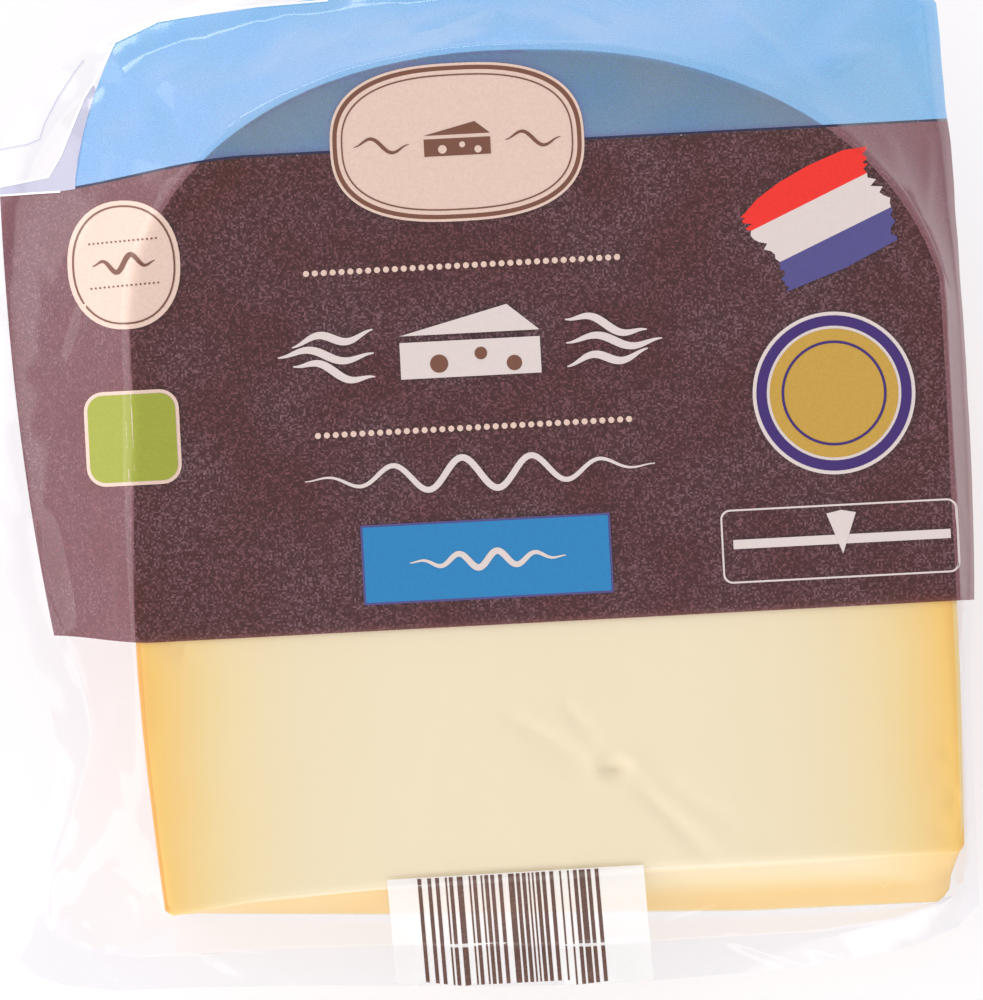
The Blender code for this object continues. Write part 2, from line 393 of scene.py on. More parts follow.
def cheese_material():
    """Semi-hard cow's milk cheese, cut by wire: a dense, slightly oily paste that is pale
    inside and dries to a deeper, more see-through yellow towards the rind."""
    material, tree = new_material("semi_hard_cheese_wire_cut")
    # rind_depth also carries the walls' painted shade and painted highlight, besides the paste's
    # real depth from the rind.
    depth = node(tree, "ShaderNodeAttribute", attribute_name="rind_depth")
    place = node(tree, "ShaderNodeTexCoord").outputs["Object"]
    mottle = node(tree, "ShaderNodeTexNoise", {"Vector": place, "Scale": 90.0, "Detail": 2.0})
    uneven = node(tree, "ShaderNodeMath", {0: mottle.outputs["Fac"], 1: 3.0, 2: -1.5},
                  operation="MULTIPLY_ADD")
    moved = node(tree, "ShaderNodeMath", {0: depth.outputs["Fac"], 1: uneven.outputs[0]},
                 operation="ADD")
    share = node(tree, "ShaderNodeMapRange", {"Value": moved.outputs[0], "From Min": RIND_COAT,
                                              "From Max": RIND_REACH})
    ramp = node(tree, "ShaderNodeValToRGB", {"Fac": share.outputs["Result"]})
    span = RIND_REACH - RIND_COAT
    colour_stops(ramp, [((mm - RIND_COAT) / span, colour) for mm, colour in PASTE_BY_DEPTH])
    grain = node(tree, "ShaderNodeTexNoise", {"Vector": place, "Scale": 420.0, "Detail": 0.0})
    bump = node(tree, "ShaderNodeBump", {"Height": grain.outputs["Fac"], "Strength": 0.10,
                                         "Distance": 0.2 * MM})
    shader = node(tree, "ShaderNodeBsdfPrincipled", {
        "Base Color": ramp.outputs["Color"], "Roughness": 0.42, "IOR": 1.45,
        
        "Normal": bump.outputs["Normal"],
    })
    finish_material(tree, shader.outputs["BSDF"])
    return material


def under_gloss(tree, shader):
    """Covers a shader with the gloss of the film, which grows where it is seen along its
    surface, and makes that the material's surface."""
    gloss = node(tree, "ShaderNodeBsdfGlossy", {"Color": (1, 1, 1, 1), "Roughness": 0.12})
    sight = node(tree, "ShaderNodeLayerWeight", {"Blend": 0.5})
    steep = node(tree, "ShaderNodeMath", {0: sight.outputs["Facing"], 1: 4.0},
                 operation="POWER")
    share = node(tree, "ShaderNodeMath", {0: steep.outputs[0], 1: 0.32, 2: 0.045},
                 operation="MULTIPLY_ADD")
    mix = node(tree, "ShaderNodeMixShader", {"Fac": share.outputs[0],
                                             1: shader, 2: gloss.outputs[0]})
    finish_material(tree, mix.outputs[0])


def film_material(name, through):
    """Clear PA/PE packing film, cast and laminated: thin and glossy, so that it shows by
    its gloss and, where it is thick or doubled, by the little light that it holds back."""
    material, tree = new_material(name)
    clear = node(tree, "ShaderNodeBsdfTransparent", {"Color": through})
    under_gloss(tree, clear.outputs[0])
    return material


def see_through_ink(name, through, inks, cover, uneven):
    """Flexographic ink, reverse printed on clear film: a transparent colour with a fine,
    uneven grain, mostly dark with fewer pale specks, under the film's gloss. The grain is
    drawn coarser than the real one, so that it shows. cover is the share of the light that
    the ink's own pigment sends back, whose tone drifts between the two linear colours in
    inks."""
    material, tree = new_material(name)
    place = node(tree, "ShaderNodeTexCoord").outputs["Object"]
    cells = node(tree, "ShaderNodeVectorMath", {0: place, 1: (INK_GRAIN, INK_GRAIN, INK_GRAIN)},
                 operation="SNAP")
    grain = node(tree, "ShaderNodeTexWhiteNoise", {"Vector": cells.outputs["Vector"]})
    sparse = node(tree, "ShaderNodeMath", {0: grain.outputs["Value"], 1: 3.0},
                  operation="POWER")
    share = node(tree, "ShaderNodeMapRange", {"Value": sparse.outputs[0],
                                              "To Min": cover * (1 - uneven),
                                              "To Max": cover * (1 + 3 * uneven)})
    drift = node(tree, "ShaderNodeTexNoise", {"Vector": place, "Scale": 110.0, "Detail": 0.0})
    tone = node(tree, "ShaderNodeValToRGB", {"Fac": drift.outputs["Fac"]})
    for element, position, ink in zip(tone.color_ramp.elements, (0.3, 0.7), inks):
        element.position, element.color = position, ink
    clear = node(tree, "ShaderNodeBsdfTransparent", {"Color": through})
    pigment = node(tree, "ShaderNodeBsdfDiffuse", {"Color": tone.outputs["Color"]})
    mix = node(tree, "ShaderNodeMixShader", {"Fac": share.outputs[0],
                                             1: clear.outputs[0], 2: pigment.outputs[0]})
    under_gloss(tree, mix.outputs[0])
    return material


def opaque_ink(name, colour, spread=0.04):
    """Flexographic ink over white, reverse printed: an even, opaque field with a faint
    mottle from the printing plate, under the film's gloss."""
    material, tree = new_material(name)
    place = node(tree, "ShaderNodeTexCoord").outputs["Object"]
    mottle = node(tree, "ShaderNodeTexNoise", {"Vector": place, "Scale": 2400.0, "Detail": 1.0})
    value = node(tree, "ShaderNodeMapRange", {"Value": mottle.outputs["Fac"], "From Min": 0.3,
                                              "From Max": 0.7, "To Min": 1 - spread,
                                              "To Max": 1 + spread})
    tone = node(tree, "ShaderNodeHueSaturation", {"Value": value.outputs["Result"],
                                                  "Color": linear(colour)})
    shader = node(tree, "ShaderNodeBsdfPrincipled", {"Base Color": tone.outputs["Color"],
                                                     "Roughness": 0.12, "IOR": 1.5})
    finish_material(tree, shader.outputs["BSDF"])
    return material


# Meshes

def linked(name, mesh, material):
    """Makes a smooth object of a mesh and puts it in the scene."""
    mesh.shade_smooth()
    mesh.materials.append(material)
    made = bpy.data.objects.new(name, mesh)
    bpy.context.scene.collection.objects.link(made)
    return made


def mesh_object(name, vertices, faces, material):
    mesh = bpy.data.meshes.new(name)
    mesh.from_pydata(vertices, [], faces)
    mesh.validate()
    mesh.update()
    return linked(name, mesh, material)


def object_of(name, shape, material):
    mesh = bpy.data.meshes.new(name)
    shape.to_mesh(mesh)
    shape.free()
    return linked(name, mesh, material)


def polar_grid(sides, column, centre=None):
    """Lofts columns of (distance, height) points round MIDDLE into one sheet."""
    vertices, faces = [], []
    for index in range(sides):
        angle = 2 * pi * index / sides
        points = column(angle)
        count = len(points)
        for distance, z in points:
            x = MIDDLE[0] + distance * cos(angle)
            y = MIDDLE[1] + distance * sin(angle)
            vertices.append(in_part(x, y, z))
    for index in range(sides):
        here, there = index * count, (index + 1) % sides * count
        for step in range(count - 1):
            faces.append((here + step, here + step + 1, there + step + 1, there + step))
    if centre is not None:
        vertices.append(in_part(*MIDDLE, centre))
        last = len(vertices) - 1
        for index in range(sides):
            faces.append((last, index * count, (index + 1) % sides * count))
    return vertices, faces


def cheese_column(angle):
    """The wedge's outline in one direction: face, rounded edge, wall and back."""
    top_reach = reach(FACE, angle)
    back_reach = reach(BACK, angle)
    slope = sin(angle) * tan(WEDGE_ANGLE)
    middle = MIDDLE[1] * tan(WEDGE_ANGLE)
    points = []
    for step in range(1, 61):
        distance = (top_reach - CHEESE_ROUND) * step / 60
        points.append((distance, middle + distance * slope))
    rim_height = middle + top_reach * slope
    for step in range(1, 5):
        turn = pi / 2 * step / 4
        distance = top_reach - CHEESE_ROUND * (1 - sin(turn))
        points.append((distance, rim_height - CHEESE_ROUND * (1 - cos(turn))))
    bulge = near(angle, 90, 62)
    start = rim_height - CHEESE_ROUND
    for step in range(1, 31):
        share = step / 30
        out = (1 - (1 - share) ** 2) * bulge + share * (1 - bulge)
        distance = top_reach + (back_reach - top_reach) * out
        points.append((distance, start + (CHEESE_ROUND - start) * share))
    points.append((back_reach - 0.3 * MM, 0.5 * MM))
    for step in range(12, 0, -1):
        points.append(((back_reach - 1 * MM) * step / 12, 0.4 * MM))
    return points


def rind_depth(place):
    """How far a place in the cheese is from the nearest rind, in mm."""
    x = place.x - WHEEL_TO_PART.x
    y = place.y - WHEEL_TO_PART.y
    r = hypot(y, place.z)
    side = WHEEL_HEIGHT / 2 + (0.8 * MM if x < 0 else -1.2 * MM) - abs(x)
    rim = (rim_reach(x) - r) * 0.9
    corner = min(1, abs(x) / (WHEEL_HEIGHT / 2))
    return max(-1 * MM, min(side, rim * (1 - 0.55 * corner**3) - 0.5 * MM)) / MM


def in_dimple(u, v):
    """Depth in mm of the cheese's eye and of the shallow creases that run from it."""
    eye_u, eye_v = EYE
    away = hypot((u - eye_u) / 1.8, (v - eye_v) / 1.1)
    depth = 1.1 * exp(-away**2) - 0.2 * exp(-((away - 1.7) / 0.6) ** 2)
    for start, end, deep, wide in PASTE_CREASES:
        depth += deep * near_line(u, v, start, end, wide)
    return depth


def beside_line(u, v, start, end):
    """How far along a line a place is, as a share of it, and how far aside, in mm."""
    along_u, along_v = end[0] - start[0], end[1] - start[1]
    length = hypot(along_u, along_v)
    share = ((u - start[0]) * along_u + (v - start[1]) * along_v) / length**2
    aside = abs((u - start[0]) * along_v - (v - start[1]) * along_u) / length
    return share, aside


def near_line(u, v, start, end, wide):
    """1 on a line, falling to 0 beyond wide mm from it, and towards its ends."""
    share, aside = beside_line(u, v, start, end)
    if not 0 < share < 1:
        return 0.0
    return exp(-((aside / wide) ** 2)) * sin(pi * share) ** 0.6


def fold_at(u, v, start, end, wide):
    """As near_line, with straight flanks that meet in an edge."""
    share, aside = beside_line(u, v, start, end)
    if not 0 < share < 1:
        return 0.0
    return max(0, 1 - aside / wide) ** 1.3 * sin(pi * share) ** 0.7


EYE = from_pixel(615, 768)
PASTE_CREASES = (  # from, to, depth and half width in mm
    (from_pixel(498, 712), from_pixel(592, 764), 0.35, 0.8),
    (from_pixel(520, 745), from_pixel(600, 775), 0.2, 0.9),
    (from_pixel(632, 780), from_pixel(715, 862), 0.35, 1.0),
    (from_pixel(655, 775), from_pixel(740, 830), 0.2, 1.2),
    (from_pixel(600, 745), from_pixel(560, 700), 0.2, 0.9),
)
PITS = (  # small tears at the right rind, and their size in mm
    (from_pixel(948, 752), 0.9), (from_pixel(935, 775), 0.7), (from_pixel(955, 800), 1.0),
    (from_pixel(925, 748), 0.5), (from_pixel(940, 830), 0.8), (from_pixel(182, 652), 0.9),
    (from_pixel(168, 648), 0.6),
)


def make_cheese(material):
    vertices, faces = polar_grid(CHEESE_SIDES, cheese_column, MIDDLE[1] * tan(WEDGE_ANGLE))
    shaped, depths = [], []
    for place in vertices:
        u, v = seen_at(place)
        r = hypot(place.y - WHEEL_TO_PART.y, place.z)
        on_top = abs(place.z - r * sin(WEDGE_ANGLE)) < 0.05 * MM
        swell = noise.noise(place * 60) * 0.12 * MM + noise.noise(place * 400) * 0.03 * MM
        depth = rind_depth(place)
        if on_top:
            sink = in_dimple(u, v) * MM
            for (pu, pv), size in PITS:
                sink += 0.5 * size * MM * exp(-((hypot(u - pu, v - pv) / size) ** 2))
            place = place - OUT_OF_FACE * (sink + 0.1 * MM - swell)
        elif place.z > 1.0 * MM:
            outward = Vector((place.x, place.y, 0)).normalized()
            place = place + outward * (swell - 0.1 * MM)
            # The walls' colour holds painted shade at the tip and a painted highlight on the
            # right, carried in rind_depth.
            depth = wall_depth_with_painted_light(u, v, depth, (r * sin(WEDGE_ANGLE) - place.z) / MM)
        shaped.append(place)
        depths.append(depth)
    cheese = mesh_object("cheese_wedge", shaped, faces, material)
    layer = cheese.data.attributes.new("rind_depth", "FLOAT", "POINT")
    layer.data.foreach_set("value", depths)
    return cheese


def wall_depth_with_painted_light(u, v, depth, under):
    """The wedge's sides: the coated rind all round, but at the tip a bare cut whose colour is
    painted shade: darker towards the foot and at the left, paler at the upper right. On the right
    half, a painted highlight makes the walls paler down to 1.3 mm below the face; under is how
    far below the face a place is, in mm."""
    # Painted highlight: on the right half, the top 1.3 mm of the walls is paler; elsewhere the
    # walls take the rind's coat colour.
    if v > -50 or abs(u) > 54:
        return 8.0 if u > 0 and under < 1.3 else min(depth, -3.0)
    if under < 1.3:
        return depth
    # Painted shade on the tip wall: darker towards its foot, where lower grows, and at the left;
    # paler at its upper right, where right grows.
    lower = min(1, max(0, (-54.0 - v) / 3.0))
    right = min(1, max(0, (u + 15) / 25))
    return min(depth, 4.0 + 12.0 * right * (1 - lower))


def smooth_min(a, b, reach_of_bend):
    bend = max(reach_of_bend - abs(a - b), 0) / reach_of_bend
    return min(a, b) - bend * bend * reach_of_bend / 4


def film_height(angle, size, distance):
    """The film over the face, and its slope down beside the wedge, run into one another."""
    slope = sin(angle) * tan(WEDGE_ANGLE)
    middle = MIDDLE[1] * tan(WEDGE_ANGLE) + FILM
    drop = middle + size["edge"] * slope - size["height"]
    share = (distance - size["edge"]) / (size["fin"] - size["edge"])
    power = tent_power(angle)
    if share < 0:
        beside = size["height"] + drop * (1 - power * share)
    else:
        beside = size["height"] + drop * (1 - share) ** power + pleat(angle, share)
    return smooth_min(middle + distance * slope, beside, FILM_ROUND)


FRONT_STEPS = (58, 18, 30, 10)  # over the face, over its edge, beside it and on the fin


def front_column(angle):
    """The front film in one direction, from MIDDLE to the fin's outer edge."""
    size = fin_sizes(angle)
    run = size["fin"] - size["edge"]
    stops = (0, size["edge"] - 3 * MM, size["edge"] + min(4 * MM, 0.4 * run), size["fin"])
    points = []
    for start, end, steps in zip(stops, stops[1:], FRONT_STEPS):
        for step in range(1, steps + 1):
            distance = min(start + (end - start) * step / steps, size["fin"])
            points.append((distance, film_height(angle, size, distance)))
    for step in range(1, FRONT_STEPS[3] + 1):
        share = step / FRONT_STEPS[3]
        distance = size["fin"] + share * (size["out"] - size["fin"])
        points.append((distance, size["height"] - size["hang"] * share**1.2))
    return points


def back_column(angle):
    """The back film in one direction, from the fin's outer edge in under the wedge."""
    size = fin_sizes(angle)
    aside, below = WEB_GAP * size["fold"] * 4, WEB_GAP * (1 - size["fold"])
    points = []
    for step in range(10, -1, -1):
        share = step / 10
        distance = size["fin"] + share * (size["out"] - size["fin"]) - aside
        points.append((distance, size["height"] - size["hang"] * share**1.2 - below))
    start, height = size["fin"] - aside, size["height"] - below
    for step in range(1, 17):
        share = step / 16
        distance = start + share * (size["foot"] - start)
        points.append((distance, height * (1 - share) + FILM_FOOT_ROUND * share))
    for step in range(1, 4):
        turn = pi / 2 * step / 3
        distance = size["foot"] - FILM_FOOT_ROUND * (1 - cos(turn))
        points.append((distance, FILM_FOOT_ROUND * (1 - sin(turn)) + FILM_OFF_TABLE))
    for step in range(8, 0, -1):
        points.append(((size["foot"] - FILM_FOOT_ROUND) * step / 8.5, FILM_OFF_TABLE))
    return points


CREASES = (  # soft ridges of the film: from, to, height and half width in mm
    (from_pixel(3, 205), from_pixel(6, 290), 0.8, 0.8),
    (from_pixel(250, 60), from_pixel(330, 160), 0.30, 0.9),
    (from_pixel(222, 84), from_pixel(262, 150), 0.25, 0.8),
    (from_pixel(180, 118), from_pixel(200, 135), 0.7, 0.8),
    (from_pixel(815, 62), from_pixel(895, 55), 0.8, 1.6),
    (from_pixel(808, 100), from_pixel(862, 148), 0.6, 1.4),
    (from_pixel(880, 120), from_pixel(950, 330), 0.5, 1.1),
    (from_pixel(928, 130), from_pixel(926, 222), 0.4, 0.8),
    (from_pixel(30, 700), from_pixel(95, 790), 0.3, 1.2),
    (from_pixel(812, 945), from_pixel(850, 962), 0.8, 1.0),
    (from_pixel(650, 930), from_pixel(735, 905), 0.5, 1.2),
    (from_pixel(165, 925), from_pixel(250, 975), 0.4, 1.1),
    (from_pixel(240, 930), from_pixel(300, 985), 0.3, 1.0),
    (from_pixel(150, 895), from_pixel(118, 868), 0.5, 1.0),
    (from_pixel(122, 870), from_pixel(60, 871), 0.5, 1.2),
    (from_pixel(62, 868), from_pixel(50, 902), 0.5, 1.2),
    (from_pixel(51, 898), from_pixel(68, 934), 0.5, 1.2),
    (from_pixel(64, 928), from_pixel(98, 952), 0.5, 1.2),
    (from_pixel(94, 948), from_pixel(120, 978), 0.4, 1.2),
)
FOLDS = (  # sharp ridges, in the same way
    (from_pixel(112, 40), from_pixel(168, 168), 1.0, 4.0),
    (from_pixel(212, 52), from_pixel(140, 108), 0.9, 4.0),
    (from_pixel(155, 70), from_pixel(245, 142), 0.8, 4.0),
    (from_pixel(262, 22), from_pixel(188, 128), 0.6, 5.0),
    (from_pixel(310, 22), from_pixel(232, 128), 0.7, 5.0),
    (from_pixel(404, 14), from_pixel(300, 64), 0.8, 5.0),
    (from_pixel(500, 5), from_pixel(410, 48), 0.5, 5.0),
    (from_pixel(560, 4), from_pixel(640, 50), 0.5, 5.0),
    (from_pixel(716, 0), from_pixel(818, 92), 1.0, 2.2),
    (from_pixel(735, 40), from_pixel(815, 100), 0.6, 2.0),
    (from_pixel(38, 510), from_pixel(68, 638), 1.1, 2.2),
    (from_pixel(118, 500), from_pixel(119, 644), 0.45, 0.8),
    (from_pixel(84, 300), from_pixel(69, 360), -0.5, 1.1),
    (from_pixel(70, 640), from_pixel(105, 742), 0.35, 1.6),
    (from_pixel(100, 730), from_pixel(156, 872), 0.35, 1.6),
    (from_pixel(916, 868), from_pixel(948, 940), 0.9, 1.3),
    (from_pixel(916, 870), from_pixel(964, 920), 0.8, 1.2),
    (from_pixel(915, 872), from_pixel(970, 890), 0.6, 1.1),
    (from_pixel(918, 870), from_pixel(870, 896), 0.6, 1.0),
    (from_pixel(720, 936), from_pixel(815, 968), 0.7, 1.2),
    (from_pixel(940, 420), from_pixel(972, 560), 0.4, 1.2),
    (from_pixel(968, 600), from_pixel(962, 760), 0.5, 1.2),
)


def relief(u, v, loose):
    """How far the film stands off its plain form, in mm. loose is 0 on the cheese and 1
    where nothing is behind the film."""
    waves = noise.noise(Vector((u * 0.09, v * 0.09, 3.1))) * 0.9
    waves += noise.noise(Vector((u * 0.30, v * 0.22, 7.7))) * 0.35
    height = loose * waves * 0.45
    share = 0.3 + 0.7 * loose
    for start, end, rise, wide in CREASES:
        height += rise * share * near_line(u, v, start, end, wide)
    for start, end, rise, wide in FOLDS:
        height += rise * share * fold_at(u, v, start, end, wide)
    return height


def displaced(vertices, faces, looseness):
    """Moves each point of a film sheet along its normal by the film's relief."""
    shape = bpy.data.meshes.new("shape")
    shape.from_pydata(vertices, [], faces)
    shape.update()
    normals = [Vector(n.vector) for n in shape.vertex_normals]
    bpy.data.meshes.remove(shape)
    moved = []
    for place, normal, loose in zip(vertices, normals, looseness):
        u, v = seen_at(place)
        moved.append(place + normal * relief(u, v, loose) * MM)
    return moved


def front_sheet():
    """Places and faces of the front film, which is tight on the face and down its right."""
    vertices, faces = polar_grid(FILM_SIDES, front_column, MIDDLE[1] * tan(WEDGE_ANGLE) + FILM)
    per_side = sum(FRONT_STEPS)
    edge_step = FRONT_STEPS[0] + FRONT_STEPS[1] // 2
    looseness = []
    for index in range(len(vertices)):
        step = index % per_side
        angle = 2 * pi * (index // per_side) / FILM_SIDES
        tight = max(near(angle, 0, 30), near(angle, 340, 30))
        if index == len(vertices) - 1 or step < edge_step:
            looseness.append(0.0)
        else:
            looseness.append(min(1, (step - edge_step) / 14) * (1 - 0.85 * tight))
    return displaced(vertices, faces, looseness), faces


# The print's own lines, as V over U or U over V

def eased(value):
    value = max(0, min(1, value))
    return value * value * (3 - 2 * value)


def band_top(u):
    """Where the brown band meets the blue field. It sags with the film at the left."""
    return 45.9 - 3.4 * eased((-38 - u) / 30)


def band_bottom(u):
    return -18.9 + 1.7 * eased((-54 - u) / 15)


def print_left(v):
    return -71.8 + 4.2 * (max(0, 41.9 - v) / 59.1) ** 2.2


def field_left(v):
    """The blue field's slanting edge, where the corner of the printed web is turned in."""
    rise = max(0, v - 43.8)
    return -61.6 + 0.16 * rise + 0.0102 * rise**2


def field_top(u):
    return min(62.5 + 0.42 * (u + 54.8), 64.9 + 0.09 * (u + 49.2))


BROWN_EDGES = (
    lambda u, v: print_left(v) - u,
    lambda u, v: v - band_top(u),
    lambda u, v: band_bottom(u) - v,
)
LINE_EDGES = (
    lambda u, v: field_left(v) - u,
    lambda u, v: v - band_top(u) - 0.35,
    lambda u, v: band_top(u) - v,
)
BLUE_EDGES = (
    lambda u, v: field_left(v) - u,
    lambda u, v: v - field_top(u),
    lambda u, v: band_top(u) - v,
)


def split_film(places, faces, regions):
    """Cuts the front film along the edges of its printed regions, and makes a piece of each
    region and one of the clear rest. A region is a name, a material and its edges, which
    are functions of U and V that are over 0 outside it."""
    sheet = bmesh.new()
    layer = sheet.verts.layers.float_vector.new("place")
    corners = []
    for place in places:
        corner = sheet.verts.new(place)
        corner[layer] = place
        corners.append(corner)
    for face in faces:
        sheet.faces.new([corners[i] for i in face])
    for outside in dict.fromkeys(edge for _, _, edges in regions for edge in edges):
        for corner in sheet.verts:
            u, v = seen_at(corner[layer])
            corner.co = (outside(u, v), u, v)
        bmesh.ops.bisect_plane(
            sheet, geom=[*sheet.verts, *sheet.edges, *sheet.faces], dist=1e-6,
            plane_co=(0, 0, 0), plane_no=(1, 0, 0),
        )
    for corner in sheet.verts:
        corner.co = corner[layer]
    sheet.verts.layers.float_vector.remove(layer)
    sheet.verts.index_update()
    places = [corner.co.copy() for corner in sheet.verts]
    sorted_faces = {name: [] for name, _, _ in regions}
    for face in sheet.faces:
        u, v = seen_at(face.calc_center_median())
        for name, _, edges in regions:
            if all(outside(u, v) <= 0 for outside in edges):
                sorted_faces[name].append([corner.index for corner in face.verts])
                break
    sheet.free()
    return {name: mesh_object(name, *only_used(places, sorted_faces[name]), material)
            for name, material, _ in regions}


def only_used(places, faces):
    """Leaves out the places that no face uses."""
    numbers = {}
    for face in faces:
        for corner in face:
            numbers.setdefault(corner, len(numbers))
    return [places[corner] for corner in numbers], [[numbers[c] for c in face] for face in faces]


class Printer:
    """Lays flat shapes, drawn in U and V, on the printed film."""

    def __init__(self, places, faces):
        self.tree = BVHTree.FromPolygons(places, faces)

    def place(self, u, v, rise):
        ray = (on_face(u, v) - CAMERA_PLACE).normalized()
        hit, normal, _, _ = self.tree.ray_cast(CAMERA_PLACE, ray)
        if hit is None:
            return None
        if normal.dot(ray) > 0:
            normal = -normal
        return hit + normal * rise

    def lay(self, name, outlines, material, rise=MOTIF_RISE, pitch=1.5):
        """outlines are closed outlines, or pairs of an outer and an inner one with the
        same number of points, which make a ring. What misses the film is left out."""
        flat = bmesh.new()
        for outline in outlines:
            if isinstance(outline, tuple):
                outer, inner = [[flat.verts.new((*p, 0)) for p in ring] for ring in outline]
                for i in range(len(outer)):
                    j = (i + 1) % len(outer)
                    flat.faces.new((outer[i], outer[j], inner[j], inner[i]))
            else:
                flat.faces.new([flat.verts.new((*p, 0)) for p in outline])
        for axis in (0, 1):
            values = [corner.co[axis] for corner in flat.verts]
            low, high = min(values), max(values)
            for step in range(1, int((high - low) / pitch) + 1):
                point, across = Vector(), Vector()
                point[axis], across[axis] = low + step * pitch, 1
                bmesh.ops.bisect_plane(
                    flat, geom=[*flat.verts, *flat.edges, *flat.faces], dist=1e-5,
                    plane_co=point, plane_no=across,
                )
        bmesh.ops.triangulate(flat, faces=flat.faces)
        missed = []
        for corner in flat.verts:
            place = self.place(corner.co.x, corner.co.y, rise)
            if place is None:
                missed.append(corner)
            else:
                corner.co = place
        bmesh.ops.delete(flat, geom=missed, context="VERTS")
        return object_of(name, flat, material)


# Outlines of the printed shapes

def turned(points, centre, degrees=0):
    """Turns points about the origin and moves them to centre."""
    c, s = cos(radians(degrees)), sin(radians(degrees))
    return [(centre[0] + x * c - y * s, centre[1] + x * s + y * c) for x, y in points]


def oval(centre, width, height, count=64, degrees=0, power=2.0):
    """An ellipse, or a fuller shape where power is over 2."""
    points = []
    for step in range(count):
        turn = 2 * pi * step / count
        x = abs(cos(turn)) ** (2 / power) * (1 if cos(turn) >= 0 else -1)
        y = abs(sin(turn)) ** (2 / power) * (1 if sin(turn) >= 0 else -1)
        points.append((x * width / 2, y * height / 2))
    return turned(points, centre, degrees)


def rounded_box(centre, width, height, radius, degrees=0, per_corner=6):
    points = []
    for cx, cy, start in ((1, 1, 0), (-1, 1, 90), (-1, -1, 180), (1, -1, 270)):
        for step in range(per_corner + 1):
            turn = radians(start + 90 * step / per_corner)
            x = cx * (width / 2 - radius) + radius * cos(turn)
            y = cy * (height / 2 - radius) + radius * sin(turn)
            points.append((x, y))
    return turned(points, centre, degrees)


def row_of_dots(start, end, count, radius):
    dots = []
    for step in range(count):
        share = step / (count - 1)
        centre = (start[0] + (end[0] - start[0]) * share, start[1] + (end[1] - start[1]) * share)
        dots.append(oval(centre, 2 * radius, 2 * radius, 12))
    return dots


def stroke(points, width, tapered=False):
    """A line drawn with one pen, as a row of four-sided pieces."""
    sides = []
    last = len(points) - 1
    for index, (x, y) in enumerate(points):
        x0, y0 = points[max(0, index - 1)]
        x1, y1 = points[min(last, index + 1)]
        half = width / 2 / hypot(x1 - x0, y1 - y0)
        if tapered:
            half *= 0.15 + 0.85 * sin(pi * index / last)
        aside = ((y0 - y1) * half, (x1 - x0) * half)
        sides.append(((x + aside[0], y + aside[1]), (x - aside[0], y - aside[1])))
    return [[a[0], a[1], b[1], b[0]] for a, b in zip(sides, sides[1:])]


def wave(start, end, height, turns, count=60):
    """Points of a wavy line that is flat at its ends."""
    points = []
    for step in range(count + 1):
        share = step / count
        swing = height * sin(2 * pi * turns * share) * sin(pi * share)
        points.append((start[0] + (end[0] - start[0]) * share,
                       start[1] + (end[1] - start[1]) * share + swing))
    return points


def wedge_picture(width, line):
    """A simple drawing of a piece of cheese: a slab with a slanting top and three holes."""
    half, low, high = width / 2, -width * 0.20, width * 0.06
    body = [(-half, low), (half, low), (half, high), (-half, high)]
    roof = [(-half, high + line), (half, high + line), (half * 0.55, width * 0.30)]
    return body, roof, [
        oval((-half * 0.45, low + width * 0.10), width * 0.13, width * 0.13, 20),
        oval((half * 0.15, low + width * 0.16), width * 0.09, width * 0.09, 20),
        oval((half * 0.62, low + width * 0.08), width * 0.11, width * 0.11, 20),
    ]


def painted(bottom, top, rng, ragged):
    """A stripe painted with a dry brush, between two lines of points that both run to the
    right: its ends are ragged."""
    ends = []
    for (u0, v0), (u1, v1) in ((bottom[-1], top[-1]), (top[0], bottom[0])):
        for step in range(1, 9):
            share = step / 9
            aside = rng.uniform(-ragged, ragged)
            ends.append((u0 + (u1 - u0) * share + aside, v0 + (v1 - v0) * share + 0.3 * aside))
    return [*bottom, *ends[:8], *reversed(top), *ends[8:]]


def ribbon(one, other):
    """The strip between two lines with as many points, as a row of four-sided pieces."""
    return [[a, b, d, c] for a, b, c, d in zip(one, one[1:], other, other[1:])]


def traced(pixels):
    """U and V of places that were read off the photograph."""
    return [from_pixel(*pixel) for pixel in pixels]


# The pack, piece by piece

def keep(piece, slot, *nodes):
    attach(piece, "root")
    for name in nodes:
        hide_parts(name)
    return piece


def opaque_inks():
    return {
        "cream": opaque_ink("cream_flexo_ink", "#E6C8B8"),
        "white": opaque_ink("white_flexo_ink", "#E2D3CE", 0.02),
        "brown": opaque_ink("dark_brown_flexo_ink", "#7A4E3C"),
        "blue": opaque_ink("sky_blue_flexo_ink", "#2682BC"),
        "navy": opaque_ink("navy_flexo_ink", "#544E8A"),
        "green": opaque_ink("leaf_green_flexo_ink", "#9EA438"),
        "yellow": opaque_ink("straw_yellow_flexo_ink", "#C89E42"),
        "violet": opaque_ink("violet_flexo_ink", "#3F2670"),
        "red": opaque_ink("red_flexo_ink", "#F32E24"),
    }


def plaque(lay, ink):
    """An oval plaque with a border, a thin line, a piece of cheese and two swashes."""
    centre = from_pixel(*PLAQUE_PX)
    rim = [oval(centre, 34.4 - gap, 21.4 - gap, 96, power=2.6) for gap in (0, 0.7, 1.9, 3.0, 3.4)]
    body, roof, holes = wedge_picture(9.0, 0.5)
    swashes = []
    for start, end in ((-14, -6.5), (6.5, 14)):
        line = wave((centre[0] + start, centre[1]), (centre[0] + end, centre[1]), 1.3, 1)
        swashes += stroke(line, 0.5, True)
    picture = [turned(shape, centre) for shape in (body, roof)]
    return [
        lay("plaque_edge", [(rim[0], rim[1])], ink["cream"], GROUND_RISE),
        lay("plaque_border", [(rim[1], rim[2])], ink["brown"], GROUND_RISE),
        lay("plaque_field", [rim[2]], ink["cream"], GROUND_RISE),
        lay("plaque_line", [(rim[3], rim[4])], ink["brown"]),
        lay("plaque_picture", picture, ink["brown"]),
        lay("plaque_picture_holes", [turned(hole, centre) for hole in holes], ink["cream"],
            TOP_RISE),
        lay("plaque_swashes", swashes, ink["brown"]),
    ]


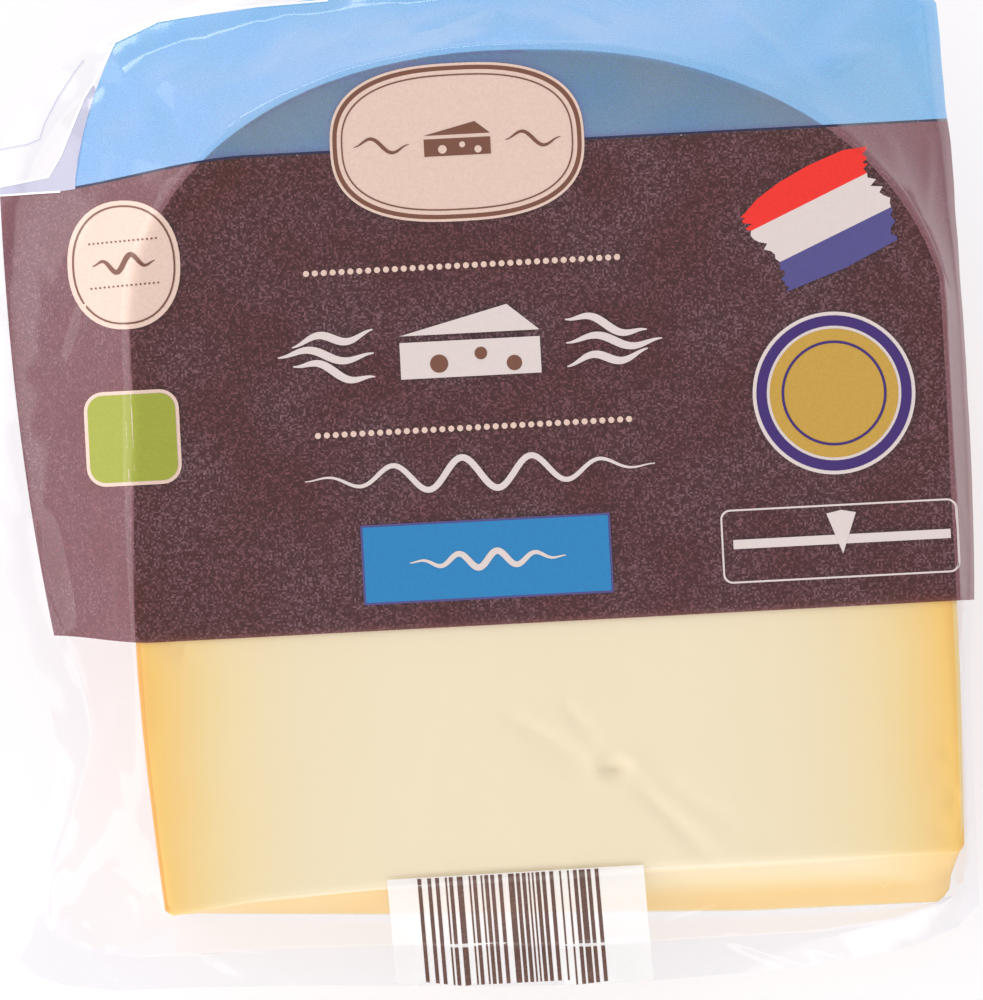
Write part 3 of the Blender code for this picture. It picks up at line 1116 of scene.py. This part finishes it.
def round_badge(lay, ink):
    """A round badge with a thin line, two dotted rules and a swash between them."""
    u, v = from_pixel(*BADGE_PX)
    outline = [oval((u, v), 15.2 - gap, 17.4 - gap, 48, power=2.2) for gap in (0, 1.3, 1.8)]
    rules = []
    for up in (3.0, -3.0):
        rules += row_of_dots((u - 4.5, v + up), (u + 4.5, v + up + 0.4), 16, 0.14)
    swash = stroke(wave((u - 4.2, v), (u + 4.2, v + 0.4), 1.2, 2), 0.7, True)
    return [
        lay("round_badge", [outline[0]], ink["cream"], GROUND_RISE, 0.8),
        lay("round_badge_line", [(outline[1], outline[2])], ink["brown"], pitch=0.8),
        lay("round_badge_rules", rules, ink["brown"], pitch=0.8),
        lay("round_badge_swash", swash, ink["brown"], pitch=0.8),
    ]


def green_tile(lay, ink):
    centre = from_pixel(*TILE_PX)
    return [
        lay("green_tile_edge", [rounded_box(centre, 12.8, 12.8, 2.6)], ink["cream"],
            GROUND_RISE, 0.8),
        lay("green_tile", [rounded_box(centre, 11.8, 11.8, 2.1)], ink["green"], pitch=0.8),
    ]


def brush_stripes(lay, ink):
    rng = Random(7)
    edges = [traced(pixels) for pixels in STRIPE_EDGES_PX]
    stripes = (("red_stripe", "red"), ("pale_stripe", "white"), ("navy_stripe", "navy"))
    return [lay(name, [painted(bottom, top, rng, 0.7)], ink[colour], pitch=1.0)
            for (name, colour), top, bottom in zip(stripes, edges, edges[1:])]


def plain_seal(lay, ink):
    """A plain disc with an edge, a broad ring and a thin line inside it."""
    centre = from_pixel(*SEAL_PX)
    discs = [oval(centre, size, size, 72) for size in (22.0, 21.0, 18.2, 17.4, 14.2, 13.5)]
    return [
        lay("seal_edge", [discs[0]], ink["white"], GROUND_RISE),
        lay("seal_ring", [(discs[1], discs[2])], ink["violet"]),
        lay("seal_field", [discs[3]], ink["yellow"]),
        lay("seal_line", [(discs[4], discs[5])], ink["violet"], TOP_RISE),
    ]


def dotted_rules(lay, ink):
    dots = []
    for ends in (UPPER_DOTS_PX, LOWER_DOTS_PX):
        dots += row_of_dots(*traced(ends), 36, 0.42)
    return [lay("dotted_rules", dots, ink["cream"], pitch=50)]


def cheese_picture(lay, ink):
    """A piece of cheese between two sprays of three strokes, over a wavy line."""
    middle = from_pixel(*PICTURE_PX)
    body, roof, holes = wedge_picture(19.0, 0.9)
    sprays = []
    for side in (-1, 1):
        start = (middle[0] + side * 13, middle[1])
        for up, reach_out in ((3.2, 11), (0, 13), (-3.2, 11)):
            end = (start[0] + side * reach_out, start[1] + up * 0.4)
            sprays += stroke(wave((start[0], start[1] + up), end, 1.1 * side, 1), 1.1, True)
    swash = stroke(wave(*traced(SWASH_PX), 2.2, 5, 120), 0.9, True)
    return [
        lay("cheese_picture", [turned(shape, middle) for shape in (body, roof)], ink["white"]),
        lay("cheese_picture_holes", [turned(hole, middle) for hole in holes], ink["brown"],
            TOP_RISE),
        lay("sprays", sprays, ink["white"], pitch=3),
        lay("swash_line", swash, ink["white"], pitch=3),
    ]


def blue_box(lay, ink):
    centre = from_pixel(*BOX_PX)
    row = wave(*traced(BOX_SWASH_PX), 1.1, 4, 80)
    return [
        lay("blue_box_edge", [rounded_box(centre, 33.8, 10.8, 0.2)], ink["navy"], GROUND_RISE),
        lay("blue_box", [rounded_box(centre, 33.2, 10.2, 0.2)], ink["blue"]),
        lay("blue_box_swash", stroke(row, 0.9, True), ink["white"], TOP_RISE, 3),
    ]


def taste_scale(lay, ink):
    """A framed bar with a pointer at its middle."""
    centre, bar, pointer = traced((SCALE_PX, SCALE_BAR_PX, SCALE_POINTER_PX))
    outline = (rounded_box(centre, 32.0, 10.0, 1.3), rounded_box(centre, 31.5, 9.5, 1.1))
    arrow = turned([(-2.0, 2.6), (0, -2.9), (2.0, 2.6), (0, 3.0)], pointer)
    return [
        lay("scale_outline", [outline], ink["white"]),
        lay("scale_bar", [rounded_box(bar, 29.4, 1.25, 0.1)], ink["white"]),
        lay("scale_pointer", [arrow], ink["white"], TOP_RISE),
    ]


def print_motifs(printer):
    """Plain shapes and simple ornaments in the print's colours."""
    ink = opaque_inks()
    pieces = []
    for motif in (plaque, round_badge, green_tile, brush_stripes, plain_seal, dotted_rules,
                  cheese_picture, blue_box, taste_scale):
        pieces += motif(printer.lay, ink)
    return pieces


def on_code(share, down):
    """A place on the bar code: share of its width from the left, and down its height."""
    top = (417 + 187 * share, 878 - 11 * share)
    foot = (426 + 188 * share, 982 - 2 * share + 7 * sin(pi * share))
    return from_pixel(*(a + (b - a) * down for a, b in zip(top, foot)))


def bar_code(printer):
    """A patch of bars of random widths over the wedge's lower edge."""
    white = see_through_ink("white_ground_flexo_ink", (0.985, 0.98, 0.975, 1),
                            ((0.98, 0.96, 0.95, 1), (0.98, 0.96, 0.95, 1)), 0.75, 0.01)
    dark = see_through_ink("dark_bar_flexo_ink", (0.26, 0.13, 0.09, 1),
                           ((0.16, 0.08, 0.06, 1), (0.22, 0.12, 0.09, 1)), 0.5, 0.2)
    across = [-0.16 + 1.37 * step / 12 for step in range(13)]
    upper = [on_code(share, 0.0) for share in across]
    lower = [on_code(share, 1.04) for share in across]
    patch = printer.lay("bar_code_ground", ribbon(upper, lower), white, GROUND_RISE, 0.8)
    rng = Random(11)
    bars, at = [], 0.0
    while at < 0.985:
        wide = BAR_MODULE * rng.choice((1, 1, 1, 2, 2, 3))
        left, right = at + 0.04 * BAR_MODULE, at + wide
        corners = ((left, 0.01), (right, 0.01), (right, 1), (left, 1))
        bars.append([on_code(*corner) for corner in corners])
        at += wide + BAR_MODULE * rng.choice((1, 1, 2, 2, 3))
    return [patch, printer.lay("bar_code_bars", bars, dark, MOTIF_RISE, 0.8)]


def web_edges(printer):
    """The cut edges of the front and the back film, and the fold between them, where the slanted
    corner leaves them bare of ink: a tinted strip of double film, painted highlights as white
    ribbons along the cut edges, and painted shade as a grey ribbon along the fold."""
    # Painted highlight: opaque near-white ink for the bright lines along the film's cut edges.
    edge_highlight_ink = opaque_ink("film_edge_painted_highlight", "#FBFBFD", 0.01)
    # Painted shade: opaque grey ink for the dark line along the fold.
    fold_shade_ink = opaque_ink("film_fold_painted_shade", "#C9C9DC", 0.02)
    tint = see_through_ink("film_laminated_double", (0.66, 0.67, 0.82, 1),
                           ((0.45, 0.46, 0.62, 1), (0.52, 0.52, 0.68, 1)), 0.1, 0.0)
    edge = traced(WEB_EDGE_PX)
    inner = traced(DOUBLE_FILM_PX)
    band_edge = stroke(traced(BAND_EDGE_PX), 0.25)
    fold_line = stroke(traced(FOLD_LINE_PX), 0.2)
    return [
        printer.lay("double_film", ribbon(edge, inner), tint, GROUND_RISE),
        # Painted highlights along the cut edges, and painted shade along the fold.
        printer.lay("film_cut_edge_highlight", stroke(edge, 0.28), edge_highlight_ink, TOP_RISE),
        printer.lay("band_cut_edge_highlight", band_edge, edge_highlight_ink, TOP_RISE),
        printer.lay("film_fold_shade_ribbon", fold_line, fold_shade_ink, TOP_RISE),
    ]


def make_pack():
    clear = film_material("clear_pa_pe_film_cast", (0.99, 0.99, 0.993, 1))
    thick = film_material("clear_pa_pe_film_deep_drawn", (0.953, 0.957, 0.975, 1))
    keep(mesh_object("back_film", *polar_grid(FILM_SIDES, back_column), thick), "film")
    keep(make_cheese(cheese_material()), "cheese")

    brown = see_through_ink("brown_flexo_ink", (0.235, 0.102, 0.118, 1),
                            ((0.50, 0.17, 0.20, 1), (0.62, 0.33, 0.41, 1)), 0.085, 0.8)
    blue = see_through_ink("blue_flexo_ink", (0.23, 0.69, 0.89, 1),
                           ((0.34, 0.29, 0.98, 1), (0.46, 0.33, 0.90, 1)), 0.30, 0.06)
    navy = opaque_ink("navy_line_flexo_ink", "#2A2A4A")
    places, faces = front_sheet()
    film = split_film(places, faces, [
        ("navy_line", navy, LINE_EDGES), ("brown_print", brown, BROWN_EDGES),
        ("blue_print", blue, BLUE_EDGES), ("front_film", clear, ()),
    ])
    keep(film.pop("front_film"), "film", "cheese_pack")
    for piece in film.values():
        keep(piece, "print")

    printer = Printer(places, faces)
    for piece in print_motifs(printer) + bar_code(printer):
        keep(piece, "print")
    for piece in web_edges(printer):
        keep(piece, "film")


# Floor and light

def make_floor():
    """A table of opal acrylic that is lit from below as well, so that shadows stay pale."""
    material, tree = new_material("opal_acrylic_lit_from_below")
    place = node(tree, "ShaderNodeTexCoord").outputs["Object"]
    tone = node(tree, "ShaderNodeTexNoise", {"Vector": place, "Scale": 3.0, "Detail": 1.0})
    ramp = node(tree, "ShaderNodeValToRGB", {"Fac": tone.outputs["Fac"]})
    colour_stops(ramp, [(0.3, "#A3A0A3"), (0.7, "#A7A5A7")])
    shader = node(tree, "ShaderNodeBsdfPrincipled", {
        "Base Color": ramp.outputs["Color"], "Roughness": 0.9, "Specular IOR Level": 0.2,
        "Emission Color": linear("#FEFCFE"), "Emission Strength": 0.65,
    })
    finish_material(tree, shader.outputs["BSDF"])
    bpy.ops.mesh.primitive_plane_add(size=6, location=(0, 0, 0))
    floor = bpy.context.object
    floor.name = "floor"
    floor.data.materials.append(material)


def area_light(name, place, size, watts):
    """A soft light that points at the pack."""
    data = bpy.data.lights.new(name, "AREA")
    data.shape = "RECTANGLE"
    data.size, data.size_y = size
    data.energy = watts
    light = bpy.data.objects.new(name, data)
    bpy.context.scene.collection.objects.link(light)
    light.location = place
    light.rotation_euler = (-Vector(place)).to_track_quat("-Z", "Y").to_euler()


def make_light():
    """A light tent: soft light from all round, two soft boxes for the film's highlights."""
    world = bpy.data.worlds.new("studio")
    bpy.context.scene.world = world
    world.use_nodes = True
    tree = world.node_tree
    tree.nodes.clear()
    way = node(tree, "ShaderNodeTexCoord").outputs["Generated"]
    height = node(tree, "ShaderNodeSeparateXYZ", {"Vector": way})
    ramp = node(tree, "ShaderNodeValToRGB", {"Fac": height.outputs["Z"]})
    colour_stops(ramp, [(0.0, "#F4F4F5"), (0.5, "#D8D8DA"), (1.0, "#C4C4C6")])
    side = node(tree, "ShaderNodeMapRange", {"Value": height.outputs["X"], "From Min": -1.0,
                                             "To Min": 1.63, "To Max": 0.76})
    sky = node(tree, "ShaderNodeBackground", {"Color": ramp.outputs["Color"],
                                              "Strength": side.outputs["Result"]})
    output = node(tree, "ShaderNodeOutputWorld")
    tree.links.new(sky.outputs[0], output.inputs["Surface"])
    area_light("soft_box_left", (-0.85, 0.05, 0.32), (1.5, 0.8), 4.2)
    area_light("soft_box_right", (0.70, 0.30, 0.45), (0.4, 0.5), 0.4)
    area_light("strip_light_back", (-0.25, 0.90, 0.35), (0.7, 0.15), 1.8)
    area_light("strip_light_front", (0.10, -0.80, 0.40), (0.9, 0.35), 1.4)
    view = bpy.context.scene.view_settings
    view.view_transform = "Standard"
    view.look = "None"


make_camera()
make_pack()
make_floor()
make_light()
